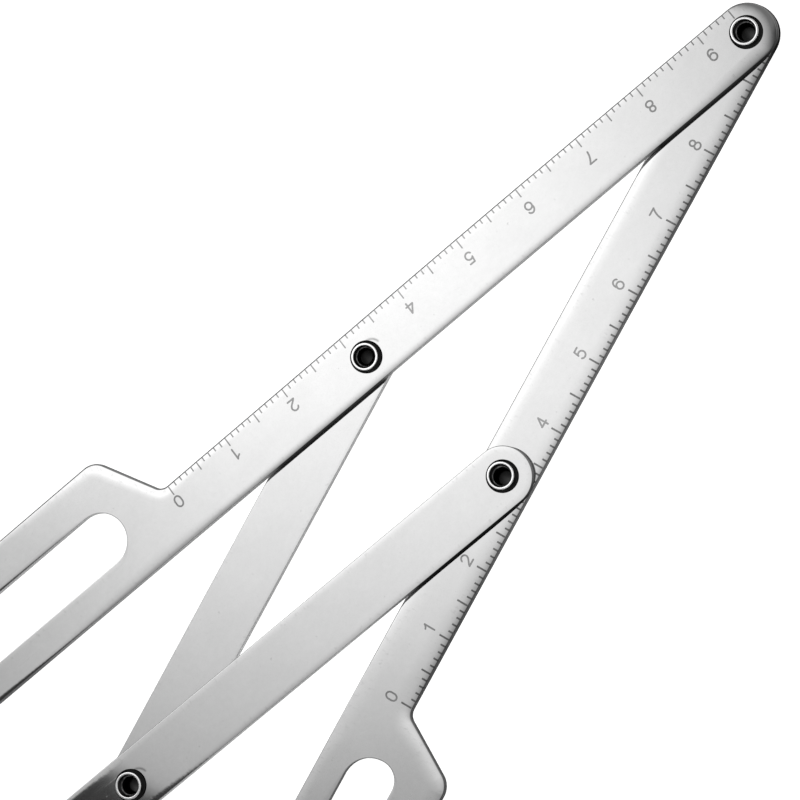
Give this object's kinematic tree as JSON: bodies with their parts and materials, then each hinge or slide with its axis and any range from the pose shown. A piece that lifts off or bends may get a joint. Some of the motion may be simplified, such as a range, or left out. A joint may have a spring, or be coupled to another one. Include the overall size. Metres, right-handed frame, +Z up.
{
  "type": "eyebrow mapping caliper",
  "caption": "Golden-ratio mapping caliper: flat steel bars in a riveted rhombus linkage, with slotted, pointed outer legs and a plain pointed middle leg.",
  "frame": {"origin": "on the apex pivot's axis, at the flat underside of the apex rivet's head, on the surface that the caliper lies on", "axes": "+Z up, along every pivot; the outer legs point towards -Y, the left leg on the -X side and the right leg on the +X side of the YZ plane"},
  "size_m": [0.0778, 0.1679, 0.0035],
  "materials": {
    "satin_steel": "satin, fine grain along each bar, rolled edges",
    "dark_rivet_steel": "dark, bright along the rolled crest"
  },
  "bodies": {
    "left_leg": {"left_leg": "satin_steel", "apex_rivet": "dark_rivet_steel", "left_rivet": "dark_rivet_steel"},
    "right_leg": {"right_leg": "satin_steel", "right_rivet": "dark_rivet_steel"},
    "link_bar": {"link_bar": "satin_steel"},
    "middle_leg": {"middle_leg": "satin_steel", "centre_rivet": "dark_rivet_steel"}
  },
  "joints": [
    {"name": "opening", "type": "hinge", "parent": "left_leg", "child": "right_leg", "pos_m": [0, 0, 0], "axis": [0, 0, 1], "range_deg": [-14.7, 150.7]},
    {"name": "link_turn", "type": "hinge", "parent": "left_leg", "child": "link_bar", "pos_m": [-0.01217, -0.06263, 0], "axis": [0, 0, 1], "range_deg": [-14.7, 150.7]},
    {"name": "middle_turn", "type": "hinge", "parent": "right_leg", "child": "middle_leg", "pos_m": [0.01217, -0.06263, 0], "axis": [0, 0, 1], "range_deg": [-150.7, 14.7]}
  ],
  "couplings": [
    {"joint": "link_turn", "follows": "opening", "ratio": 1},
    {"joint": "middle_turn", "follows": "opening", "ratio": -1}
  ]
}
